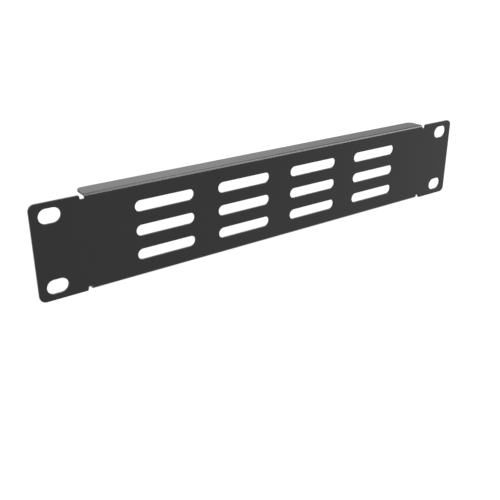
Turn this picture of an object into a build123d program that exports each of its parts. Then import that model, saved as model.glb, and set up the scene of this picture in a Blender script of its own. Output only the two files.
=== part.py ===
from build123d import *
import os

# A one-unit vented blanking panel for a ten-inch rack, folded from one sheet of steel.
# Millimetres. X runs along the panel, +Y points back into the rack, +Z points up.
# The origin is the centre of the screw pattern, on the rear face that lies against the rails.

# Screw slots, at the two outer hole heights of one rack unit
screw_spacing_x = 236.525
screw_spacing_z = 31.75
screw_slot_length = 9.65
screw_slot_width = 6.7

# Sheet and its outline; the ears end a set distance outside the screw slots' centres
sheet_thickness = 1.0
panel_height = 43.8
ear_beyond_screws = 8.44
ear_corner_radius = 3.0

# Vents, a centred grid of slots with full-round ends
vent_columns = 4
vent_rows = 3
vent_pitch_x = 43.43
vent_pitch_z = 11.5
vent_length = 30.2
vent_width = 5.25

# Flanges, folded back along the top and bottom edges between the ears
flange_length = 205.4
flange_depth = 10.0
flange_corner_radius = 3.0
bend_inner_radius = 0.6

# Reliefs, the four short slits that part a flange from the ear beside it
relief_width = 2.2
relief_overrun = 0.3
relief_floor_radius = 0.7
relief_mouth_radius = 0.8

# What follows from them
panel_width = screw_spacing_x + 2 * ear_beyond_screws
front_y = -sheet_thickness
rear_y = front_y + flange_depth
top_z = panel_height / 2
flange_underside_z = top_z - sheet_thickness
bend_outer_radius = bend_inner_radius + sheet_thickness
relief_depth = bend_outer_radius + relief_overrun
relief_x = (flange_length + relief_width) / 2


def folded_channel():
    """The strip between the ears: flat front, two bends and two flanges, in one C-shaped section."""
    with BuildPart() as channel:
        with BuildSketch(Plane.YZ):
            with BuildLine():
                outside = FilletPolyline(
                    (rear_y, -top_z),
                    (front_y, -top_z),
                    (front_y, top_z),
                    (rear_y, top_z),
                    radius=bend_outer_radius,
                )
                inside = FilletPolyline(
                    (rear_y, -flange_underside_z),
                    (0, -flange_underside_z),
                    (0, flange_underside_z),
                    (rear_y, flange_underside_z),
                    radius=bend_inner_radius,
                )
                Line(outside @ 0, inside @ 0)
                Line(outside @ 1, inside @ 1)
            make_face()
        extrude(amount=flange_length / 2, both=True)
        rear_corners = channel.edges().filter_by(Axis.Z).group_by(Axis.Y)[-1]
        fillet(rear_corners, flange_corner_radius)
    return channel.part


def right_relief():
    """The cutter of a relief in the right ear; beside the bend its floor is only as round as the overrun."""
    with BuildSketch() as slit:
        Rectangle(relief_width, 2 * relief_depth)
        fillet(slit.vertices().group_by(Axis.X)[-1], relief_floor_radius)
        fillet(slit.vertices().group_by(Axis.X)[0], relief_overrun)
    return slit.sketch


def ears():
    """Both flat ends of the sheet, cut in beside the bends by the reliefs."""
    right = right_relief()
    left = mirror(right, about=Plane.YZ)
    with BuildPart() as pair:
        with BuildSketch(Plane.XZ) as outline:
            RectangleRounded(panel_width, panel_height, ear_corner_radius)
            Rectangle(flange_length, panel_height, mode=Mode.SUBTRACT)
            with Locations((relief_x, top_z), (relief_x, -top_z)):
                add(right, mode=Mode.SUBTRACT)
            with Locations((-relief_x, top_z), (-relief_x, -top_z)):
                add(left, mode=Mode.SUBTRACT)
            rows = outline.vertices().group_by(Axis.Y)
            mouths = [row.sort_by(lambda corner: abs(corner.X))[:2] for row in (rows[0], rows[-1])]
            fillet(mouths[0] + mouths[1], relief_mouth_radius)
        extrude(amount=sheet_thickness)
    return pair.part


def vents():
    """Cutters for the grid of vents, centred on the panel."""
    with BuildPart() as cutter:
        with BuildSketch(Plane.XZ):
            with GridLocations(vent_pitch_x, vent_pitch_z, vent_columns, vent_rows):
                SlotOverall(vent_length, vent_width)
        extrude(amount=sheet_thickness)
    return cutter.part


def screw_slots():
    """Cutters for the four screw slots, two in each ear."""
    with BuildPart() as cutter:
        with BuildSketch(Plane.XZ):
            with GridLocations(screw_spacing_x, screw_spacing_z, 2, 2):
                SlotOverall(screw_slot_length, screw_slot_width)
        extrude(amount=sheet_thickness)
    return cutter.part


def vented_panel():
    """The whole sheet: the folded strip and its ears, with every slot punched through."""
    sheet = folded_channel() + ears()
    return sheet - vents() - screw_slots()


if __name__ == "__main__":
    os.makedirs("parts", exist_ok=True)
    export_step(vented_panel(), "parts/vented_panel.step")
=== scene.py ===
import bpy
import numpy as np
from mathutils import Euler, Matrix, Vector
from mathutils.geometry import delaunay_2d_cdt


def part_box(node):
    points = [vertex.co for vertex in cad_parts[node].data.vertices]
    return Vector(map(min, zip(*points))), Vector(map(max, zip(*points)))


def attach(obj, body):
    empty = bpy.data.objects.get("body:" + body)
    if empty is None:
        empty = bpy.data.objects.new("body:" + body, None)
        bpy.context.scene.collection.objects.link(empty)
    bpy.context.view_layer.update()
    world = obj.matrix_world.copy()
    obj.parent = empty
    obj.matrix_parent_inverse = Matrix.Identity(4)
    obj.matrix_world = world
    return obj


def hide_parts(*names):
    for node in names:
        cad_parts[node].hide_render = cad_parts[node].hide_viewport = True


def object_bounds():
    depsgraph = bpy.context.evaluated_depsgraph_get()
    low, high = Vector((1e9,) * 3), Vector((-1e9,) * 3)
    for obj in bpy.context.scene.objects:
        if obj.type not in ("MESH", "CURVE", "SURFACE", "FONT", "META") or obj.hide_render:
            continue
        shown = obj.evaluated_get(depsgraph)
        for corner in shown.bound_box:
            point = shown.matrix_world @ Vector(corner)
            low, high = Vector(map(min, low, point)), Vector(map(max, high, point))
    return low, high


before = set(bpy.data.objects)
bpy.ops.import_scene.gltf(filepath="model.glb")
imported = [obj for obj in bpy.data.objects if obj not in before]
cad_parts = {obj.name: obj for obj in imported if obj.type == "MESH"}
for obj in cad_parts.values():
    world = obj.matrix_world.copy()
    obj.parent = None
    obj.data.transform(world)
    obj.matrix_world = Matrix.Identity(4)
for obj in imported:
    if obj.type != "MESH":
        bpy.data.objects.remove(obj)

cad_low, cad_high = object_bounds()

# Blanking panel
# One sheet of one-millimetre steel that closes a unit of a ten-inch rack, punched flat with its
# vents, screw slots and reliefs, folded back along the top and bottom, and powder coated black.

# Its sizes, in millimetres until the mesh is made; what differs by less than a hair is the same
low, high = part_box("vented_panel")
half_length, half_height = high.x * 1000, high.z * 1000
front, rear = low.y * 1000, high.y * 1000
thickness, edge_round = 1.0, 0.08
bend_radius, bend_rows = 1.6, 12
flange_half, flange_corner = 102.7, 3.0
ear_start, ear_corner, ear_shoulder = 104.9, 3.0, 0.8
relief_floor, relief_corner, bend_corner = 20.0, 0.7, 0.3
vent_columns, vent_pitch_x, vent_length = 4, 43.43, 30.2
vent_rows, vent_pitch_z, vent_width = 3, 11.5, 5.25
screw_slot_x, screw_slot_z = 118.2625, 15.875
screw_slot_length, screw_slot_width = 9.65, 6.7
arc_step, round_steps, hair = np.radians(6), 4, 1e-6

bend_start = half_height - bend_radius
bend_run = bend_radius * np.pi / 2
flange_end = bend_start + bend_run + rear - front - bend_radius
relief_middle = (flange_half + ear_start) / 2


def cut_line(corners, radii):
    """One closed cut through the flat sheet, as points and the normals that point off the metal.

    The metal is on the left of the cut. At each corner the point is the arc's centre plus the radius
    times a normal that turns evenly from the first side's to the second's. The centre is the corner
    less the radius times the sum of both normals over one plus their product. The radius counts as
    negative where the cut turns right, and where it runs straight on the corner is a single point."""
    corners, radii = np.array(corners, float), np.array(radii, float)
    ahead = np.roll(corners, -1, 0) - corners
    ahead /= np.linalg.norm(ahead, axis=1, keepdims=True)
    behind = np.roll(ahead, 1, 0)
    straight = (behind * ahead).sum(1)
    turn = np.arctan2(behind[:, 0] * ahead[:, 1] - behind[:, 1] * ahead[:, 0], straight)
    steps = np.ceil(np.abs(turn) / arc_step - hair).astype(int)
    corner = np.repeat(np.arange(len(corners)), steps + 1)
    step = np.arange(len(corner)) - (np.cumsum(steps + 1) - steps - 1)[corner]
    share = step / np.maximum(steps, 1)[corner]
    angle = np.arctan2(-behind[:, 0], behind[:, 1])[corner] + turn[corner] * share
    normals = np.stack([np.cos(angle), np.sin(angle)], 1)
    both = np.stack([behind[:, 1] + ahead[:, 1], -behind[:, 0] - ahead[:, 0]], 1)
    signed = radii * np.sign(turn) * (np.abs(turn) > hair)
    centre = corners - signed[:, None] * both / (1 + straight)[:, None]
    points = centre[corner] + signed[corner, None] * normals
    apart = np.linalg.norm(np.roll(points, -1, 0) - points, axis=1) > hair
    return points[apart], normals[apart]


def slot_cut(x, z, length, width):
    """The cut of one slot, run clockwise so that the metal stays on its left.

    Its corners are half the length and half the width from its middle, and each is as round as half
    the width, so that the ends are full half circles."""
    i, j = length / 2, width / 2
    return cut_line([(x - i, z - j), (x - i, z + j), (x + i, z + j), (x + i, z - j)], [j] * 4)


def folded(x, v, depth, normal):
    """Where a point of the flat sheet lies once the flanges are folded, and how its normal turns.

    x runs along the panel, v up the flat sheet from its middle, and depth in from the front face.
    The angle grows from 0 to 90 degrees over the bend's run, and stays 0 on the ears. A point lies
    round the bend's axis at the outer radius less its depth, then along the tangent by the rest
    of v."""
    side, past = np.sign(v), np.abs(v) - bend_start
    inside = np.clip(past, 0, bend_run) * (np.abs(x) < relief_middle)
    angle = inside / bend_radius
    rest = past - inside
    y = front + bend_radius - (bend_radius - depth) * np.cos(angle) + rest * np.sin(angle)
    z = side * (bend_start + (bend_radius - depth) * np.sin(angle) + rest * np.cos(angle))
    along = normal[:, 1] * side
    turned = np.stack([normal[:, 0], along * np.sin(angle) + normal[:, 2] * np.cos(angle),
                       side * (along * np.cos(angle) - normal[:, 2] * np.sin(angle))], 1)
    return np.stack([x, y, z], 1), turned


def in_metal(spots, starts, ends):
    """Which spots lie in the metal: from those, a line to the right meets an odd number of cut sides.

    It meets the side from a start to an end where one of them is above the line and the other isn't,
    at the start plus the climb to the line times the side's run over its climb."""
    x, v = spots[:, :1], spots[:, 1:]
    meets = (starts[:, 1] > v) != (ends[:, 1] > v)
    climb = np.where(starts[:, 1] == ends[:, 1], 1.0, ends[:, 1] - starts[:, 1])
    meeting = starts[:, 0] + (v - starts[:, 1]) * ((ends[:, 0] - starts[:, 0]) / climb)
    return (meets & (meeting > x)).sum(1) % 2 == 1


# The outline of the flat sheet: a quarter of it, from the right ear's corner by way of the relief
# and the bend to the flange's end, and then the quarter's reflections
bend_lines = bend_start + bend_run * np.linspace(0, 1, bend_rows + 1)
quarter = [(half_length, half_height), (ear_start, half_height), (ear_start, relief_floor),
           (flange_half, relief_floor), *((flange_half, v) for v in bend_lines), (flange_half, flange_end)]
quarter_radii = [ear_corner, ear_shoulder, relief_corner,
                 bend_corner, *([0] * len(bend_lines)), flange_corner]
upper = np.array(quarter + [(-x, v) for x, v in quarter[::-1]])
outline = cut_line(np.concatenate([upper, -upper]), (quarter_radii + quarter_radii[::-1]) * 2)
columns = (np.arange(vent_columns) - (vent_columns - 1) / 2) * vent_pitch_x
rows = (np.arange(vent_rows) - (vent_rows - 1) / 2) * vent_pitch_z
vents = [slot_cut(x, z, vent_length, vent_width) for z in rows for x in columns]
screw_slots = [slot_cut(x, z, screw_slot_length, screw_slot_width)
               for z in (-screw_slot_z, screw_slot_z) for x in (-screw_slot_x, screw_slot_x)]
cuts = [outline, *vents, *screw_slots]

# The edge of every cut, a profile carried along it: a quarter round, the cut wall, a quarter round
rise = np.linspace(-np.pi / 2, 0, round_steps + 1)
swing = np.concatenate([rise, -rise[::-1]])
inset = edge_round * (1 - np.cos(swing))
wall = (thickness - 2 * edge_round) * (np.arange(len(swing)) >= len(rise))
depth = edge_round * (1 + np.sin(swing)) + wall
places, normals, faces, firsts = [], [], [], [0]
for points, off in cuts:
    shape = (len(swing), len(points))
    edge = points - off * inset[:, None, None]
    aim = np.concatenate([off * np.cos(swing)[:, None, None],
                          np.broadcast_to(np.sin(swing)[:, None, None], (*shape, 1))], 2)
    x, v = edge.reshape(-1, 2).T
    place, normal = folded(x, v, np.repeat(depth, len(points)), aim.reshape(-1, 3))
    here = firsts[-1] + np.arange(len(place)).reshape(shape)
    beside = np.roll(here, -1, 1)
    faces.append(np.stack([here[:-1], here[1:], beside[1:], beside[:-1]], 2).reshape(-1, 4))
    places.append(place)
    normals.append(normal)
    firsts.append(firsts[-1] + len(place))

# The bends and flanges, straight strips from each point of the outline to its reflection
x, v = outline[0].T
between_reliefs = np.abs(x) < flange_half + hair
strips = []
for side in (1, -1):
    strip = np.flatnonzero(between_reliefs & (side * v > bend_start - hair))
    here, there = strip[:len(strip) // 2], strip[::-1][:len(strip) // 2]
    strips.append(np.stack([here[:-1], here[1:], there[1:], there[:-1]], 1))
strips = np.concatenate(strips)

# The flat face between the bends, filled with the triangles whose middles lie in the metal
on_flat = ~between_reliefs | (np.abs(v) < bend_start + hair)
rims = [np.flatnonzero(on_flat)] + [np.arange(len(cut[0])) for cut in cuts[1:]]
flat = np.concatenate([(points - off * edge_round)[rim] for (points, off), rim in zip(cuts, rims)])
loops = np.split(np.arange(len(flat)), np.cumsum([len(rim) for rim in rims])[:-1])
sides = np.concatenate([np.stack([loop, np.roll(loop, -1)], 1) for loop in loops])
_, _, filled, sources, _, _ = delaunay_2d_cdt([Vector(spot) for spot in flat], sides.tolist(), [], 0, hair)
triangles = np.array([source[0] for source in sources])[np.array(filled)]
triangles = triangles[in_metal(flat[triangles].mean(1), *flat[sides.T])]

# The same strips and triangles close the front on each cut's first row, and the rear on its last
last_rows = [(len(swing) - 1) * len(cut[0]) for cut in cuts]
on_front = np.concatenate([first + rim for first, rim in zip(firsts, rims)])
on_rear = np.concatenate([first + row + rim for first, row, rim in zip(firsts, last_rows, rims)])
faces = [*np.concatenate(faces).tolist(), *strips.tolist(), *(strips + last_rows[0])[:, ::-1].tolist(),
         *on_front[triangles].tolist(), *on_rear[triangles][:, ::-1].tolist()]
mesh = bpy.data.meshes.new("folded_sheet")
mesh.from_pydata(np.concatenate(places) / 1000, [], faces)
mesh.polygons.foreach_set("use_smooth", np.ones(len(faces), bool))
mesh.normals_split_custom_set_from_vertices(np.concatenate(normals))
panel = bpy.data.objects.new("folded_sheet", mesh)
bpy.context.collection.objects.link(panel)


class Finish:
    """A value of a finish that changes over the surface; arithmetic on it adds the Math nodes."""

    def __init__(self, tree, socket=None):
        self.tree, self.socket = tree, socket

    def add(self, kind, settings, inputs, output=0):
        """A node of this kind: its settings first, then the value or link of each socket."""
        node = self.tree.nodes.new(kind)
        for name, value in settings.items():
            setattr(node, name, value)
        for name, value in inputs.items():
            if isinstance(value, Finish):
                self.tree.links.new(value.socket, node.inputs[name])
            else:
                node.inputs[name].default_value = value
        return Finish(self.tree, node.outputs[output] if node.outputs else None)

    def math(self, operation, a, b):
        """What the operation makes of a and b."""
        return self.add("ShaderNodeMath", {"operation": operation}, {0: a, 1: b})

    def mix(self, factor, a, b):
        """The colour that lies between a and b by factor."""
        return self.add("ShaderNodeMix", {"data_type": "RGBA"}, {"Factor": factor, 6: a, 7: b}, 2)

    def __add__(self, other):
        return self.math("ADD", self, other)

    def __sub__(self, other):
        return self.math("SUBTRACT", self, other)

    def __rsub__(self, other):
        return self.math("SUBTRACT", other, self)

    def __mul__(self, other):
        return self.math("MULTIPLY", self, other)

    __radd__, __rmul__ = __add__, __mul__


def unfinished(owner):
    """The start of a finish on a new material or room, with the nodes it came with taken out."""
    owner.use_nodes = True
    owner.node_tree.nodes.clear()
    return Finish(owner.node_tree)


# The coat, a satin black powder that has flowed out to a faint orange peel
deep_black, grey_black = (0.0104, 0.0104, 0.0105, 1), (0.0128, 0.0128, 0.0129, 1)
satin, cloud_dulling, grain_dulling, refractive_index = 0.2, 0.03, 0.03, 1.29
peel_height, grain_height, height_unit = 0.012, 0.003, 0.001
coat = bpy.data.materials.new("black_powder_coat")
powder = unfinished(coat)
spot = powder.add("ShaderNodeTexCoord", {}, {}, "Object")


def noise(scale, detail, roughness):
    """Even noise on the panel's own coordinates, with scale as its number of swells to the metre."""
    return powder.add("ShaderNodeTexNoise", {}, {
        "Vector": spot, "Scale": scale, "Detail": detail, "Roughness": roughness})


clouds = noise(scale=28.0, detail=3.0, roughness=0.5)
peel = noise(scale=720.0, detail=1.0, roughness=0.4)
grain = noise(scale=2600.0, detail=2.0, roughness=0.5)
colour = powder.mix(clouds, deep_black, grey_black)
bump = powder.add("ShaderNodeBump", {}, {
    "Strength": 1.0, "Distance": height_unit, "Height": peel * peel_height + grain * grain_height})
shader = powder.add("ShaderNodeBsdfPrincipled", {}, {
    "Base Color": colour, "Roughness": satin + clouds * cloud_dulling + grain * grain_dulling,
    "IOR": refractive_index, "Normal": bump})
powder.add("ShaderNodeOutputMaterial", {}, {"Surface": shader})
mesh.materials.append(coat)

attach(panel, "root")
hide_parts("vented_panel")

# Floor
# A broad sheet of white acrylic on a light table, lit from below, so that the panel stands on
# pure white with next to no shadow.
reach, clearance, glow_strength = 6.0, 0.0001, 0.95
dark_haze, light_haze = (0.035, 0.035, 0.035, 1), (0.045, 0.045, 0.045, 1)
corners = np.array([(-1, -1, 0), (1, -1, 0), (1, 1, 0), (-1, 1, 0)]) * reach
table = bpy.data.meshes.new("floor")
table.from_pydata(corners + (0, 0, cad_low.z - clearance), [], [(0, 1, 2, 3)])
floor = bpy.data.objects.new("floor", table)
bpy.context.collection.objects.link(floor)
acrylic = bpy.data.materials.new("lit_acrylic")
sheet = unfinished(acrylic)
on_sheet = sheet.add("ShaderNodeTexCoord", {}, {}, "Object")
haze = sheet.add("ShaderNodeTexNoise", {}, {"Vector": on_sheet, "Scale": 40.0, "Detail": 4.0})
tint = sheet.mix(haze, dark_haze, light_haze)
glow = sheet.add("ShaderNodeBsdfPrincipled", {}, {
    "Base Color": tint, "Roughness": 0.9, "Specular IOR Level": 0.0,
    "Emission Color": (1, 1, 1, 1), "Emission Strength": glow_strength})
sheet.add("ShaderNodeOutputMaterial", {}, {"Surface": glow})
table.materials.append(acrylic)

# Studio light
# A white room, brightest behind the panel and to the left, with a long soft box that runs off to
# the front right and draws the light line along the top bend. A weak box overhead lifts its left end.
brightest_way = Vector((-0.3, 0.75, 0.6)).normalized()
glare_rise, glare_drop, least_glare, most_glare, backdrop_glare = 3.15, 0.51, 0.77, 1.55, 1.03
room = bpy.data.worlds.new("white_room")
air = unfinished(room)
way = air.add("ShaderNodeTexCoord", {}, {}, "Generated")
toward = air.add("ShaderNodeVectorMath", {"operation": "DOT_PRODUCT"}, {0: way, 1: brightest_way}, "Value")
glare = air.math("MAXIMUM", toward * glare_rise - glare_drop, least_glare)
glare = air.math("MINIMUM", glare, most_glare)
seen = air.add("ShaderNodeLightPath", {}, {}, "Is Camera Ray")
backdrop = air.add("ShaderNodeBackground", {}, {
    "Color": (1, 1, 1, 1), "Strength": glare * (1 - seen) + seen * backdrop_glare})
air.add("ShaderNodeOutputWorld", {}, {"Surface": backdrop})
bpy.context.scene.world = room


def soft_box(name, place, across, along, width, length, power):
    """A rectangular light centred on place, seen by what it lights but not by the camera.

    Its width runs across and its length along, and its back is turned to the product of the two."""
    lamp = bpy.data.lights.new(name, "AREA")
    lamp.shape, lamp.size, lamp.size_y, lamp.energy = "RECTANGLE", width, length, power
    across = Vector(across).normalized()
    away = across.cross(Vector(along)).normalized()
    box = bpy.data.objects.new(name, lamp)
    box.location = place
    box.rotation_euler = Matrix((across, away.cross(across), away)).transposed().to_euler()
    box.visible_camera = False
    bpy.context.collection.objects.link(box)


soft_box("key_soft_box", place=(1.425, -0.685, 1.128), across=(0.934, -0.354, 0.051),
         along=(0.216, 0.950, 0.225), width=2.55, length=1.15, power=113.0)
soft_box("overhead_soft_box", place=(0.53, 0.53, 1.41), across=(1.0, 0.0, -0.37),
         along=(0.0, 1.0, -0.37), width=0.6, length=0.6, power=3.3)

# Camera
# A 50 mm lens, at the photograph's place: to the left of the panel's middle, above it, and level
# from side to side.
camera_place, turned_right, tilted_down = (-0.205129, -0.261428, 0.116301), 35.6090, 23.7548
lens = bpy.data.cameras.new("camera")
lens.lens, lens.sensor_width = 49.985, 36.0
lens.clip_start, lens.clip_end = 0.01, 50.0
camera = bpy.data.objects.new("camera", lens)
camera.location = camera_place
camera.rotation_euler = Euler(np.radians((90 - tilted_down, 0, -turned_right)))
bpy.context.collection.objects.link(camera)
bpy.context.scene.camera = camera
bpy.context.scene.view_settings.view_transform = "Standard"
